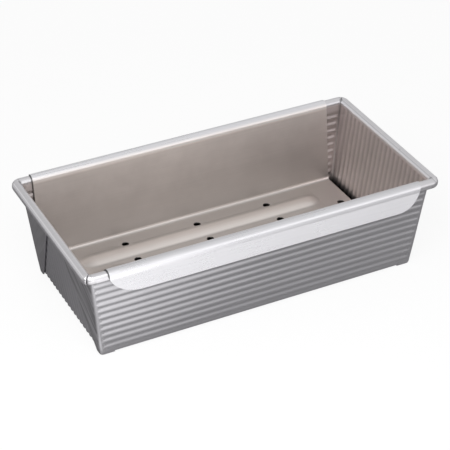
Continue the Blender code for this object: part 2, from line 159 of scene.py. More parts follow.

# Painted shade in the lines pressed along the roll, and painted highlights beside them: axis it stands
# across, degrees round it, half width, how much lighter
RIM_SHADE_AND_HIGHLIGHTS = (
    ("X", 38, 6, -0.24),
    ("X", 51, 7, 0.14),
    ("X", 66, 5, -0.10),
    ("X", 110, 8, 0.08),
    ("X", 126, 8, -0.24),
    # Painted shade low on the roll of the long sides
    ("Y", -42, 15, -0.50),
)

# Painted shade in the pan's inner corners, and a painted shadow line along the insert's left edge
CREASE_REACH = 0.0016
CREASE_SHADE_DEPTH = 0.65
EDGE_SHADOW_HALF = (0.00054, 0.00090)
EDGE_SHADOW_DEPTH = 0.85
EDGE_SHADOW_FROM = 0.0500

# Painted highlight on the strip above the ribs inside the pan's long walls: height, half height, how
# much lighter
TOP_STRIP_HEIGHT = 0.0680
TOP_STRIP_HALF = (0.0014, 0.0034)
TOP_STRIP_HIGHLIGHT = 0.26
TOP_STRIP_END = 0.1250

# Insides of the end walls: painted shade in the ribs' valleys, and more painted shade towards the front
END_RIBS = (0.1100, 0.1140)
END_RIB_SHADE = 0.12
END_SHADE_SPAN = (-0.0500, 0.0400)
END_SHADE_DEPTH = 0.11

# Up the insert's ridges: a painted highlight, brighter than its floor
RIDGE_BRIGHT = (0.0120, 0.0127)
RIDGE_BRIGHT_REACH = 0.0450
RIDGE_BRIGHT_ENDS = (0.0860, 0.0940)
RIDGE_HIGHLIGHT = 0.38

# Painted shade in bands along each ridge: how far out of its middle, half width, how much duller
FOOT_SHADE_BANDS = (
    (-0.0083, 0.0016, 0.11),
    (0.0054, 0.0036, 0.30),
)

# Painted highlight along the fillets under the insert's walls
FILLET_BRIGHT_HEIGHT = 0.0137
FILLET_BRIGHT_HALF = (0.0004, 0.0012)
FILLET_HIGHLIGHT = 0.48

# Painted highlight on the neck where the back wall turns over into its lip: height, half height, how
# much lighter
NECK_HEIGHT = 0.0708
NECK_HALF = 0.0020
NECK_HIGHLIGHT = 0.38
NECK_OUT = 0.0625

# Painted shade at the left end of the insert's back: along it, across it, how much duller
LEFT_SHADE_SPAN = (-0.1000, -0.0200)
BACK_SHADE_SPAN = (-0.0300, 0.0000)
LEFT_SHADE_DEPTH = 0.12

# Painted shade and painted highlights along the front lip: degrees round the rim, half width, how much
# lighter
LIP_SHADE_AND_HIGHLIGHTS = (
    (80, 50, -0.17),
    (8, 24, 0.20),
    (-14, 14, 0.05),
)

# Folded ears: painted shade on their flat faces, darker than the long sides, and painted light and
# shade in creases along the fold
EAR_FLAT = (0.70, 0.90)
EAR_SHADE_DEPTH = 0.19
EAR_CREASE_SLOPE = 0.96
EAR_CREASE_STRETCH = 0.08
EAR_CREASE_SCALE = 170.0
EAR_CREASE_RANGE = (0.4, 0.6)
EAR_CREASE_FRONT = 0.24
EAR_CREASE_BACK = 0.06

# Up the insert's walls: painted light, lighter towards the lips
WALL_BRIGHT = (0.0400, 0.0680)
WALL_PAINTED_LIGHT = 0.20

# Heights over which painted shade at the bottom gives way to the walls above, in the pan and in the
# insert
PAN_SHADE_HEIGHTS = (0.0085, 0.0125)
INSERT_SHADE_HEIGHTS = (0.0100, 0.0480)

# Metals: base colour and worn colour, and single colours for clean edges, also painted lighter as a
# highlight, and for painted shade at the bottoms
PAN_OUTSIDE = ((0.61, 0.605, 0.625, 1), (0.57, 0.565, 0.585, 1))
PAN_INSIDE = ((0.56, 0.51, 0.505, 1), (0.51, 0.465, 0.455, 1))
PAN_CLEAN_LIT = (0.69, 0.68, 0.70, 1)
# Painted shade under the insert, where the holes and the gap look black
PAN_BOTTOM = (0.10, 0.09, 0.085, 1)
WIRE = ((0.45, 0.45, 0.46, 1), (0.40, 0.40, 0.41, 1))
INSERT = ((0.705, 0.660, 0.635, 1), (0.615, 0.570, 0.545, 1))
INSERT_CLEAN_LIT = (0.755, 0.75, 0.775, 1)
# Painted shade lower in the insert's trough
INSERT_BOTTOM = (0.538, 0.504, 0.483, 1)
# Dark cut edges and drain-hole walls: painted shade in the gaps and holes
SHADED_CUT_EDGE = ((0.13, 0.125, 0.12, 1), (0.10, 0.095, 0.09, 1))

# Finish: scales per metre of streaks, blotches, grain and waves, and what each of them changes
STREAK_SCALE = 900.0
STREAK_STRETCH = 0.03
STREAK_RANGE = (0.25, 0.75)
STREAK_ROUGH_RANGE = (0.2, 0.8)
STREAK_ROUGHNESS = (-0.04, 0.05)
STREAK_HEIGHT = 0.6
BLOTCH_SCALE = 38.0
BLOTCH_RANGE = (0.3, 0.7)
BLOTCH_ROUGHNESS = (-0.03, 0.03)
GRAIN_SCALE = 2600.0
INSERT_GRAIN_SCALE = 2200.0
GRAIN_HEIGHT = 0.4
GRAIN_BUMP = {"Strength": 0.25, "Distance": 0.00003}
WAVE_SCALE = 22.0
WAVE_BUMP = {"Strength": 0.4, "Distance": 0.0003}

# Stage and light
WHITE = (1, 1, 1, 1)
FLOOR_HALF = 3.0
FLOOR_DROP = 0.0001
FLOOR_COLOUR = (0.17, 0.165, 0.17, 1)
FLOOR_SEEN_COLOUR = (0.98, 0.98, 0.98, 1)
FLOOR_CAMERA_WHITE = 0.88
FLOOR_GLOSSY_WHITE = 0.18

# Pools of painted light on the floor, glowing only for the metal to mirror: place, half sizes, how much
# whiter; a negative one is a painted shadow
FLOOR_POOLS = (
    ((-0.16, -0.35), (0.35, 0.30), 2.0),
    ((0.20, -1.05), (1.60, 0.88), 1.0),
    ((-0.16, 0.08), (0.20, 0.22), -0.14),
    ((-0.60, 0.32), (0.48, 0.48), 0.6),
    ((-0.115, -0.12), (0.135, 0.08), 0.48),
    ((-0.125, -0.064), (0.012, 0.012), 0.8),
)

# Studio round the object, and its soft lobes: aim, width in radians, how much brighter
SKY_LEVEL = 0.78
SKY_ON_FLOOR_SHARE = 0.80
SKY_LOBES = (
    ((0.22, -0.97, 0.05), 0.80, 0.55),
    ((0.30, -0.15, 0.94), 1.10, 0.05),
    ((-0.25, 0.95, -0.25), 0.40, -0.45),
    ((-0.55, 0.74, 0.37), 0.50, 0.12),
    ((0.00, 0.93, 0.36), 0.80, -0.12),
    ((-0.95, -0.25, 0.15), 0.70, -0.25),
)

# Lamp: name, place, aim, width, height, power
LAMP = ("front_softbox", (-0.24, -0.30, 0.42), (-0.02, -0.08, 0.0), 0.40, 0.28, 1.7)

# Sizes that follow from the others
CURL_RADIUS = WIRE_DIAMETER / 2 + WIRE_CLEARANCE + SHEET / 2
CURL_OUTER_RADIUS = CURL_RADIUS + SHEET / 2
PAN_FLOOR = RIB_AMPLITUDE + SHEET / 2
EAR_TOP = RIM_HEIGHT - CURL_OUTER_RADIUS - EAR_TOP_CLEARANCE


class WallLine:
    """Middle of one pan wall in its own upright plane: out is away from the pan, up is +Z."""

    def __init__(self, rim_half, bottom_half):
        foot = bottom_half - RIB_AMPLITUDE - SHEET / 2
        self.lean = atan((rim_half - CURL_RADIUS - foot) / RIM_HEIGHT)
        self.rim_half = rim_half
        self.top_out = rim_half - CURL_RADIUS * cos(self.lean)
        self.top_up = RIM_HEIGHT + CURL_RADIUS * sin(self.lean)
        bend_up = PAN_FLOOR + BEND_RADIUS
        slope_out = (self.top_up - bend_up) * sin(self.lean) + BEND_RADIUS
        self.floor_half = self.top_out - slope_out / cos(self.lean)
        self.foot_out = self.floor_half + BEND_RADIUS * cos(self.lean)
        self.foot_up = bend_up - BEND_RADIUS * sin(self.lean)
        self.length = (self.top_up - self.foot_up) / cos(self.lean)

    def bend(self, share):
        """Point, outward normal and plan corner radius at a share of the bottom bend."""
        turn = share * (pi / 2 - self.lean)
        out = self.floor_half + BEND_RADIUS * sin(turn)
        up = PAN_FLOOR + BEND_RADIUS * (1 - cos(turn))
        return out, up, sin(turn), -cos(turn), BEND_RADIUS * sin(turn)

    def wall(self, share):
        """The same at a share of the straight wall, from its foot to the rolled edge."""
        out = self.foot_out + (self.top_out - self.foot_out) * share
        up = self.foot_up + (self.top_up - self.foot_up) * share
        low = BEND_RADIUS * cos(self.lean)
        high = RIM_CORNER_RADIUS - CURL_RADIUS * cos(self.lean)
        return out, up, cos(self.lean), -sin(self.lean), low + (high - low) * share

    def curl(self, share, grooves=()):
        """The same at a share of the roll round the wire, which is squarer low on its outer side."""
        start = pi - self.lean
        angle = start + (CURL_END_ANGLE - start) * share
        radius = CURL_RADIUS
        if -pi / 2 < angle < 0:
            power = CURL_SQUARENESS
            radius /= (cos(angle)**power + abs(sin(angle))**power) ** (1 / power)
        for middle, depth in grooves:
            radius -= depth * eased(1 - abs(angle - middle) / GROOVE_HALF_ANGLE)
        reach = radius * cos(angle)
        up = RIM_HEIGHT + radius * sin(angle)
        return self.rim_half + reach, up, cos(angle), sin(angle), RIM_CORNER_RADIUS + reach

    def at_height(self, height):
        """How far out the wall's outer face is at a height, ribs left out."""
        return self.wall(self.share_at(height))[0] + SHEET / 2 / cos(self.lean)

    def share_at(self, height):
        """Share of the straight wall that a height is at."""
        return (height - self.foot_up) / (self.top_up - self.foot_up)


SIDE = WallLine(RIM_WIDTH / 2, RIM_WIDTH / 2 - SIDE_TAPER)
END = WallLine(RIM_LENGTH / 2, RIM_LENGTH / 2 - END_TAPER)


class Points:
    """Makes vertices, one for each place, in the quarter (signs of x and y) in hand."""

    def __init__(self, bm):
        self.bm = bm
        self.quarter = (1, 1)
        self.known = {}

    def at(self, x, y, z):
        x, y = x * self.quarter[0], y * self.quarter[1]
        key = (round(x / WELD), round(y / WELD), round(z / WELD))
        if key not in self.known:
            self.known[key] = self.bm.verts.new((x, y, z))
        return self.known[key]


def fill_grid(bm, rows):
    """Fills quads between rows of vertices of equal length."""
    for low, high in zip(rows, rows[1:]):
        for index in range(len(low) - 1):
            corners = [low[index], low[index + 1], high[index + 1], high[index]]
            distinct = list(dict.fromkeys(corners))
            if len(distinct) > 2:
                bm.faces.new(distinct)


def fill_tube(bm, rings):
    """Fills quads between rings of vertices and closes both ends."""
    fill_grid(bm, [ring + ring[:1] for ring in rings])
    bm.faces.new(rings[0])
    bm.faces.new(rings[-1])


def stitch(bm, first, second):
    """Fills triangles between two lines of (place, vertex) that have unlike counts."""
    i, j = 0, 0
    while i < len(first) - 1 or j < len(second) - 1:
        step_first = j == len(second) - 1 or (
            i < len(first) - 1 and first[i + 1][0] <= second[j + 1][0]
        )
        if step_first:
            corners = (first[i][1], first[i + 1][1], second[j][1])
            i += 1
        else:
            corners = (first[i][1], second[j + 1][1], second[j][1])
            j += 1
        if len(set(corners)) == 3:
            bm.faces.new(corners)


def face_downwards(bm):
    """Turns all faces one way, so that the sheet's floor, made first, faces down."""
    bmesh.ops.recalc_face_normals(bm, faces=bm.faces)
    bm.faces.ensure_lookup_table()
    if bm.faces[0].normal.z > 0:
        bmesh.ops.reverse_faces(bm, faces=bm.faces)


def linked(name, data):
    """A new object in the scene that shows some data."""
    thing = bpy.data.objects.new(name, data)
    bpy.context.scene.collection.objects.link(thing)
    return thing


def thing_from(bm, name, materials):
    """Turns a bmesh into an object of its own."""
    mesh = bpy.data.meshes.new(name)
    bm.to_mesh(mesh)
    bm.free()
    for material in materials:
        mesh.materials.append(material)
    return linked(name, mesh)


def piece_from(bm, name, body, materials):
    """Turns a bmesh into a smooth-shaded piece that rides on a body."""
    thing = thing_from(bm, name, materials)
    thing.data.shade_smooth()
    thing.data.set_sharp_from_angle(angle=SHARP_ANGLE)
    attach(thing, body)
    return thing


def thicken(thing, inner_material=0, edge_material=0):
    """Gives an open sheet its thickness, with its own materials on the inner side and the edge."""
    sheet = thing.modifiers.new("Sheet", "SOLIDIFY")
    sheet.thickness = SHEET
    sheet.offset = 0.0
    sheet.use_even_offset = True
    sheet.material_offset = inner_material
    sheet.material_offset_rim = edge_material


def eased(share):
    """Smooth step from 0 to 1."""
    share = min(1.0, max(0.0, share))
    return share * share * (3 - 2 * share)


def rib_height(place, first, last):
    """Height, 1 to -1, of a run of ribs from the first to the last crest, eased in and out."""
    beyond = max(first - place, place - last, 0.0) / RIB_PITCH
    if beyond >= 1 / 2:
        return 0.0
    wave = cos((place - first) * 2 * pi / RIB_PITCH)
    if beyond > 1 / 4:
        return wave * (1 - eased(4 * beyond - 1))
    return wave


def floor_rib_lines():
    """Places across half the floor and the rib's height there, a crest in the middle."""
    count = int((SIDE.floor_half - RIB_PITCH / 2) / RIB_PITCH)
    last = count * RIB_PITCH
    steps = round((count + 0.5) * RIB_STEPS)
    places = [step * RIB_PITCH / RIB_STEPS for step in range(steps + 1)]
    return [(place, rib_height(place, -last, last)) for place in places]


def wall_rib_lines(first_depth):
    """Shares up a long wall, from foot to rim, and the rib's height there."""
    last = first_depth + (RIB_COUNT - 1) * RIB_PITCH
    steps = RIB_STEPS * RIB_COUNT
    depths = [first_depth + (step / RIB_STEPS - 0.5) * RIB_PITCH for step in range(steps + 1)]
    depths = [0.0] + [depth for depth in depths if 0 < depth < SIDE.length] + [SIDE.length]
    lines = [(1 - depth / SIDE.length, rib_height(depth, first_depth, last)) for depth in depths]
    return sorted(lines)


def faded(end, reach):
    """Places over a reach up to an end, and how much of the ribs is left there."""
    shares = [step / FADE_STEPS for step in range(FADE_STEPS + 1)]
    return sorted((end - share * reach, eased(share)) for share in shares)


def end_wall_levels():
    """Shares up the end wall and how much of its upright ribs is there."""
    top = 1 - END_RIB_TOP_MARGIN / END.length
    fade = END_RIB_FADE / END.length
    ribbed = [(step / END_WALL_STEPS * (top - fade), 1.0) for step in range(END_WALL_STEPS)]
    return ribbed + faded(top, fade) + [(1.0, 0.0)]


def profile_levels(wall_levels):
    """Places from the floor's edge up to the rim: the bend from -1 to 0, the wall from 0 to 1."""
    return [(step / BEND_STEPS - 1, 1.0) for step in range(BEND_STEPS)] + wall_levels


def on_profile(line, place):
    """Point, normal and corner radius of a wall line at a place on its profile."""
    return line.bend(place + 1) if place < 0 else line.wall(place)


def corner_point(side, end, turn):
    """Point on a rounded corner: turn 0 is on the long side, 1 on the end."""
    side_out, side_up, _, _, side_radius = side
    end_out, end_up, _, _, end_radius = end
    radius = side_radius + (end_radius - side_radius) * turn
    angle = turn * pi / 2
    x = end_out - end_radius + radius * sin(angle)
    y = side_out - side_radius + radius * cos(angle)
    return x, y, side_up + (end_up - side_up) * turn


def side_stations(side, end):
    """Places along X on the long wall and how much of the ribs is there."""
    corner = end[0] - end[4]
    return [(0.0, 1.0)] + faded(corner - RIB_END_MARGIN, RIB_FADE) + [(corner, 0.0)]


def pan_floor(points, bm):
    """Ribbed floor with its ribs along X."""
    rows = []
    for y, height in floor_rib_lines():
        up = PAN_FLOOR - height * RIB_AMPLITUDE
        rows.append([points.at(x, y, up) for x in (0.0, END.floor_half)])
    fill_grid(bm, rows)
    stations = side_stations(SIDE.bend(0), END.bend(0))
    edge = [(x, points.at(x, SIDE.floor_half, PAN_FLOOR)) for x, _ in stations]
    stitch(bm, [(0.0, rows[-1][0]), (END.floor_half, rows[-1][1])], edge)


def pan_long_wall(points, bm, first_depth):
    """Long wall with ribs along X that fade out short of the corner."""
    rows = []
    for place, height in profile_levels(wall_rib_lines(first_depth)):
        side = on_profile(SIDE, place)
        out, up, normal_out, normal_up, _ = side
        height = 0.0 if place < 0 else height
        row = []
        for x, amount in side_stations(side, on_profile(END, place)):
            rise = height * amount * RIB_AMPLITUDE
            row.append(points.at(x, out + rise * normal_out, up + rise * normal_up))
        rows.append(row)
    fill_grid(bm, rows)


def pan_corner(points, bm, first_depth, end_edge):
    """Upright rounded corner, with the long wall's levels, up to the end wall's edge."""
    rows = []
    for place, _ in profile_levels(wall_rib_lines(first_depth)):
        side, end = on_profile(SIDE, place), on_profile(END, place)
        turns = [step / CORNER_STEPS for step in range(CORNER_STEPS + 1)]
        rows.append((place, [points.at(*corner_point(side, end, turn)) for turn in turns]))
    fill_grid(bm, [row for _, row in rows])
    stitch(bm, [(place, row[-1]) for place, row in rows], end_edge)


def pan_end_wall(points, bm):
    """End wall: the floor's ribs carry on up it and fade out under the rim."""
    rows = []
    for place, amount in profile_levels(end_wall_levels()):
        out, up, normal_out, normal_up, _ = on_profile(END, place)
        row = []
        for y, height in floor_rib_lines():
            rise = height * amount * RIB_AMPLITUDE
            row.append(points.at(out + rise * normal_out, y, up + rise * normal_up))
        rows.append((place, row))
    fill_grid(bm, [row for _, row in rows])
    return [(place, row[-1]) for place, row in rows]


def curl_turns(radius, slit):
    """Turns round the corner of the roll in two runs, which a slit holds apart."""
    half = asin(min(SLIT_MOST, SLIT_WIDTH / 2 / radius)) / (pi / 2) if slit else 0.0
    steps = CORNER_STEPS // 2
    first = [step / steps * (0.5 - half) for step in range(steps + 1)]
    return first, [1 - turn for turn in reversed(first)]


def pan_curl(points, bm):
    """Edge rolled outwards over the wire; two corners of it are mitred with a slit.

    The roll's first strip has no slit, so that it closes against the walls.
    """
    slit = points.quarter in ((-1, -1), (1, 1))
    strips = ([], [])
    for step in range(CURL_STEPS + 1):
        side = SIDE.curl(step / CURL_STEPS)
        end = END.curl(step / CURL_STEPS, END_GROOVES)
        first, second = curl_turns(side[4], slit and step > 1)
        first = [points.at(*corner_point(side, end, turn)) for turn in first]
        second = [points.at(*corner_point(side, end, turn)) for turn in second]
        strips[0].append([points.at(0.0, side[0], side[1])] + first)
        strips[1].append(second + [points.at(end[0], 0.0, end[1])])
    for strip in strips:
        fill_grid(bm, strip[1:])
    fill_grid(bm, [row[1:] for row in strips[0][:2]])
    fill_grid(bm, [row[:-1] for row in strips[1][:2]])
    stitch_roll_start(points, bm, strips)


def stitch_roll_start(points, bm, strips):
    """Joins the roll's first strip to the many vertices along the top of each wall."""
    side, end = SIDE.wall(1), END.wall(1)
    stations = side_stations(side, end)
    top_side = [(x, points.at(x, side[0], side[1])) for x, _ in stations]
    roll_side = [(0.0, strips[0][1][0]), (stations[-1][0], strips[0][1][1])]
    stitch(bm, top_side, roll_side)
    corner_y = side[0] - side[4]
    places = [y for y, _ in floor_rib_lines()] + [corner_y]
    top_end = [(y, points.at(end[0], y, end[1])) for y in places]
    roll_end = [(0.0, strips[1][1][-1]), (corner_y, strips[1][1][-2])]
    stitch(bm, top_end, roll_end)


def pan_sheet(outer, inner):
    """The whole ribbed pan sheet with its rolled edge, in four quarters."""
    bm = bmesh.new()
    points = Points(bm)
    for side_x in (1, -1):
        for side_y, first_depth in ((1, BACK_RIB_DEPTH), (-1, FRONT_RIB_DEPTH)):
            points.quarter = (side_x, side_y)
            pan_floor(points, bm)
            pan_long_wall(points, bm, first_depth)
            end_edge = pan_end_wall(points, bm)
            pan_corner(points, bm, first_depth, end_edge)
            pan_curl(points, bm)
    face_downwards(bm)
    sheet = piece_from(bm, "pan_sheet", "pan", [outer, inner])
    thicken(sheet, inner_material=1)
    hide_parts("pan_shell")


def ear_section(height, fullness, first_depth):
    """Outline of a folded ear at a height: the nose, the face, the corner and the wall's skin."""
    side_face, end_face = SIDE.at_height(height), END.at_height(height)
    stand, gap = EAR_STAND * fullness, EAR_GAP * fullness
    bottom_fold = SIDE.at_height(0) - EAR_BOTTOM_WIDTH
    fold = bottom_fold + (EAR_TOP_HALF_GAP - bottom_fold) * height / EAR_TOP
    depth = (1 - SIDE.share_at(height)) * SIDE.length
    last = first_depth + (RIB_COUNT - 1) * RIB_PITCH
    rise = rib_height(depth, first_depth, last) * RIB_AMPLITUDE / cos(SIDE.lean)
    nose = (stand - gap) / 2
    outline = [(end_face - EAR_EMBED, fold + EAR_GAP_DEPTH), (end_face + gap, fold + EAR_GAP_DEPTH)]
    for step in range(EAR_ARC_STEPS + 1):
        turn = step / EAR_ARC_STEPS * pi
        outline.append((end_face + gap + nose * (1 - cos(turn)), fold - nose * sin(turn)))
    centre_x = end_face + stand - EAR_CORNER_PULL * eased(height / EAR_TOP) - EAR_CORNER_RADIUS
    centre_y = side_face + EAR_SKIN_END * fullness - EAR_CORNER_RADIUS
    for step in range(EAR_ARC_STEPS + 1):
        angle = step / EAR_ARC_STEPS * pi / 2
        reach = EAR_CORNER_RADIUS
        outline.append((centre_x + reach * cos(angle), centre_y + reach * sin(angle)))
    for away in [(step + 1) * EAR_SKIN_STEP for step in range(EAR_SKIN_COUNT)] + [EAR_SKIN_REACH]:
        share = away / EAR_SKIN_REACH
        skin = EAR_SKIN_END * fullness * (1 - share) + EAR_SKIN_START * share
        ribbed = eased((end_face - centre_x + away - RIB_END_MARGIN) / RIB_FADE)
        outline.append((centre_x - away, side_face + skin + rise * ribbed))
    outline.append((centre_x - EAR_SKIN_REACH, side_face + rise - SHEET / 2))
    bend = (SIDE.wall(SIDE.share_at(height))[4] + END.wall(END.share_at(height))[4]) / 2
    inner_x, inner_y = end_face - SHEET / 2 - bend, side_face - SHEET / 2 - bend
    outline += [
        (inner_x - RIB_FADE, inner_y + bend + rise),
        (inner_x, inner_y + bend),
        (inner_x + bend * sin(pi / 4), inner_y + bend * sin(pi / 4)),
        (inner_x + bend, inner_y),
    ]
    return [(x, y, height) for x, y in outline]


def folded_ear(name, quarter, first_depth, material):
    """The corner's spare sheet, folded flat on the end wall, with the wall's ribs run onto it."""
    levels = round((EAR_TOP - EAR_BOTTOM_HEIGHT) / EAR_LEVEL_STEP)
    bm = bmesh.new()
    rings = []
    for level in range(levels + 1):
        height = EAR_BOTTOM_HEIGHT + (EAR_TOP - EAR_BOTTOM_HEIGHT) * level / levels
        grown = eased((height - EAR_BOTTOM_HEIGHT) / (EAR_FULL_HEIGHT - EAR_BOTTOM_HEIGHT))
        section = ear_section(height, EAR_FOOT_SHARE + (1 - EAR_FOOT_SHARE) * grown, first_depth)
        rings.append([bm.verts.new((x * quarter[0], y * quarter[1], z)) for x, y, z in section])
    fill_tube(bm, rings)
    bmesh.ops.recalc_face_normals(bm, faces=bm.faces)
    piece_from(bm, name, "pan", [material])


def folded_ears(material):
    """One ear at each corner."""
    for end_name, sign_x in (("left", -1), ("right", 1)):
        for side_name, sign_y, first in (("front", -1, FRONT_RIB_DEPTH), ("back", 1, BACK_RIB_DEPTH)):
            folded_ear(f"ear_{end_name}_{side_name}", (sign_x, sign_y), first, material)


def gone_down(point, angle, reach):
    """The point reached from (out, up) by going down a slope that leans out by an angle."""
    return point[0] + reach * sin(angle), point[1] - reach * cos(angle)


def lip_outline():
    """Middle of the insert's sheet, from the trough's foot up over the rim to the lip's edge.

    Each point is (out, up, length of sheet left to the lip's edge).
    """
    floor_up = FLOOR_TOP_HEIGHT - SHEET / 2
    pan_inside = SIDE.at_height(floor_up) - SHEET / cos(SIDE.lean) - RIB_AMPLITUDE
    foot = pan_inside - INSERT_WALL_CLEARANCE - SHEET / 2
    lip_radius = CURL_OUTER_RADIUS + LIP_CLEARANCE + SHEET / 2
    lip_middle = RIM_WIDTH / 2 - LIP_SET_IN
    lean = atan((lip_middle - lip_radius - foot) / (RIM_HEIGHT - floor_up))
    fillet = TROUGH_FILLET + SHEET / 2
    line_out = lip_middle - lip_radius * cos(lean)
    line_up = RIM_HEIGHT + lip_radius * sin(lean)
    centre_up = floor_up + fillet
    centre_out = line_out - ((line_up - centre_up) * sin(lean) + fillet) / cos(lean)
    path = []
    for step in range(FILLET_STEPS + 1):
        turn = step / FILLET_STEPS * (pi / 2 - lean)
        path.append((centre_out + fillet * sin(turn), centre_up - fillet * cos(turn)))
    start = pi - lean
    for step in range(LIP_STEPS + 1):
        angle = start + (LIP_ROLL_END_ANGLE - start) * step / LIP_STEPS
        path.append((lip_middle + lip_radius * cos(angle), RIM_HEIGHT + lip_radius * sin(angle)))
    path.append(gone_down(path[-1], LIP_ROLL_END_ANGLE, LIP_STRAIGHT))
    turn = (FLAP_ANGLE - LIP_ROLL_END_ANGLE) / CREASE_STEPS
    for step in range(CREASE_STEPS):
        angle = LIP_ROLL_END_ANGLE + (step + 1 / 2) * turn
        path.append(gone_down(path[-1], angle, LIP_CREASE_RADIUS * turn))
    crease = path[-1]
    for step in range(1, FLAP_STEPS + 1):
        path.append(gone_down(crease, FLAP_ANGLE, FLAP_LENGTH * sin(step / FLAP_STEPS * pi / 2)))
    left = 0.0
    measured = [(*path[-1], left)]
    for here, after in zip(reversed(path[:-1]), reversed(path[1:])):
        left += (Vector(here) - Vector(after)).length
        measured.append((*here, left))
    return list(reversed(measured))


def sheet_end(points):
    """Half length of the insert's sheet, which is a little longer to the left."""
    return INSERT_LENGTH / 2 + (INSERT_LEFT_EXTRA if points.quarter[0] < 0 else 0.0)


def lip_end(points, left, corner):
    """Half length of the sheet where so much is left to the lip's edge: its corners are round."""
    along, down = corner
    rise = max(0.0, 1 - left / down)
    return sheet_end(points) - along * (1 - sqrt(1 - rise**2))


def ridge_lines(floor_half):
    """Lines along half the insert's floor: a ridge's middle, how far off it, and how high."""
    lines = [(0.0, 0.0, 0.0)]
    for middle in RIDGE_CENTRES:
        for step in range(RIDGE_STEPS + 1):
            across = 2 * step / RIDGE_STEPS - 1
            lines.append((middle, across * RIDGE_HALF_WIDTH, (1 - across**2) * RIDGE_HEIGHT))
    lines.append((floor_half, 0.0, 0.0))
    return lines


def insert_floor(points, bm, floor_half):
    """A quarter of the floor, with lengthwise ridges that run out in rounded noses."""
    floor_up = FLOOR_TOP_HEIGHT - SHEET / 2
    stations = [(0.0, 1.0)]
    for step in range(RIDGE_END_STEPS + 1):
        share = sin(step / RIDGE_END_STEPS * pi / 2)
        stations.append((RIDGE_HALF_LENGTH - RIDGE_END_LENGTH * (1 - share), 1 - share**2))
    stations.append((sheet_end(points), 0.0))
    rows = []
    for middle, off, height in ridge_lines(floor_half):
        rows.append([
            points.at(x, middle + off * sqrt(amount), floor_up + height * amount)
            for x, amount in stations
        ])
    fill_grid(bm, rows)
    return [(x, points.at(x, floor_half, floor_up)) for x, _ in stations]


def insert_quarter(points, bm, outline):
    """A quarter of the insert: floor, wall, lip over the rim, and flap."""
    left_front = points.quarter == (-1, -1)
    corner = LIP_LEFT_CORNER if left_front else LIP_CORNER
    edge = insert_floor(points, bm, outline[0][0])
    rows = [
        [points.at(x, out, up) for x in (0.0, lip_end(points, left, corner))]
        for out, up, left in outline
    ]
    fill_grid(bm, rows[1:])
    stitch(bm, edge, [(0.0, rows[1][0]), (sheet_end(points), rows[1][1])])


def skewed(x, y):
    """Where a point of the insert lies along X: the insert is shifted and out of square."""
    return x + INSERT_SHIFT + INSERT_SHEAR * y


def hole_cutters(materials):
    """Upright punches for the drain holes, in five rows and two pairs, wider at the top."""
    rows, columns = (-2, -1, 0, 1, 2), (-1, 0, 1)
    places = [(column * HOLE_COLUMN, row * HOLE_ROW) for row in rows for column in columns]
    places += [(x, y) for x in (-HOLE_END_COLUMN, HOLE_END_COLUMN) for y in (-HOLE_ROW, HOLE_ROW)]
    radius, top = HOLE_DIAMETER / 2, FLOOR_TOP_HEIGHT
    levels = ((radius, top - HOLE_OVERRUN), (radius, top - HOLE_CHAMFER),
              (radius + HOLE_CHAMFER, top), (radius + HOLE_CHAMFER, top + HOLE_OVERRUN))
    turns = [step / HOLE_SIDES * 2 * pi for step in range(HOLE_SIDES)]
    bm = bmesh.new()
    for x, y in places:
        rings = []
        for reach, up in levels:
            rings.append([
                bm.verts.new((skewed(x, y) + reach * cos(turn), y + reach * sin(turn), up))
                for turn in turns
            ])
        fill_tube(bm, rings)
    bmesh.ops.recalc_face_normals(bm, faces=bm.faces)
    # The drain holes' walls take the dark cut-edge colour: painted shade
    for face in bm.faces:
        face.material_index = 1
    return thing_from(bm, "drain_holes", materials)


def insert_sheet(material, shaded_cut_edge):
    """The bent insert with smooth ridges, drain holes and rounded lips."""
    outline = lip_outline()
    bm = bmesh.new()
    points = Points(bm)
    for quarter in ((1, 1), (1, -1), (-1, 1), (-1, -1)):
        points.quarter = quarter
        insert_quarter(points, bm, outline)
    face_downwards(bm)
    for vertex in bm.verts:
        vertex.co.x = skewed(vertex.co.x, vertex.co.y)
    sheet = piece_from(bm, "insert_sheet", "insert", [material, shaded_cut_edge])
    # The sheet's cut edges take the dark cut-edge colour: painted shade
    thicken(sheet, edge_material=1)
    cutter = hole_cutters([material, shaded_cut_edge])
    holes = sheet.modifiers.new("Drain holes", "BOOLEAN")
    holes.operation = "DIFFERENCE"
    holes.object = cutter
    sheet.data = bpy.data.meshes.new_from_object(
        sheet.evaluated_get(bpy.context.evaluated_depsgraph_get())
    )
    sheet.modifiers.clear()
    sheet.data.set_sharp_from_angle(angle=SHARP_ANGLE)
    bpy.data.objects.remove(cutter, do_unlink=True)
    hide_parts("insert_tray")


